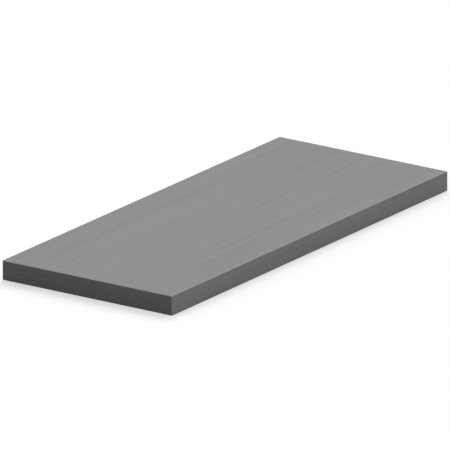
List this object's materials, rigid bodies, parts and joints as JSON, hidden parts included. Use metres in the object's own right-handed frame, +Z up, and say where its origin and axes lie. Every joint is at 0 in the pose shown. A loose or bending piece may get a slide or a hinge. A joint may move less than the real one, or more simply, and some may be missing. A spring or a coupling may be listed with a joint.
{
  "type": "metal flat bar",
  "caption": "Cut length of solid steel flat bar: a straight rectangular section with wide flat faces, nearly sharp long corners and square sawn ends.",
  "frame": {"origin": "centre of the wide face that the bar lies on", "axes": "+X along the length, +Y across the width, +Z up through the thickness"},
  "size_m": [0.3048, 0.127, 0.0127],
  "materials": {
    "drawn_steel": "bright cold-drawn mill finish on the four long faces, sawn ends with the burr filed off"
  },
  "bodies": {
    "root": {"flat_bar": "drawn_steel"}
  },
  "joints": []
}
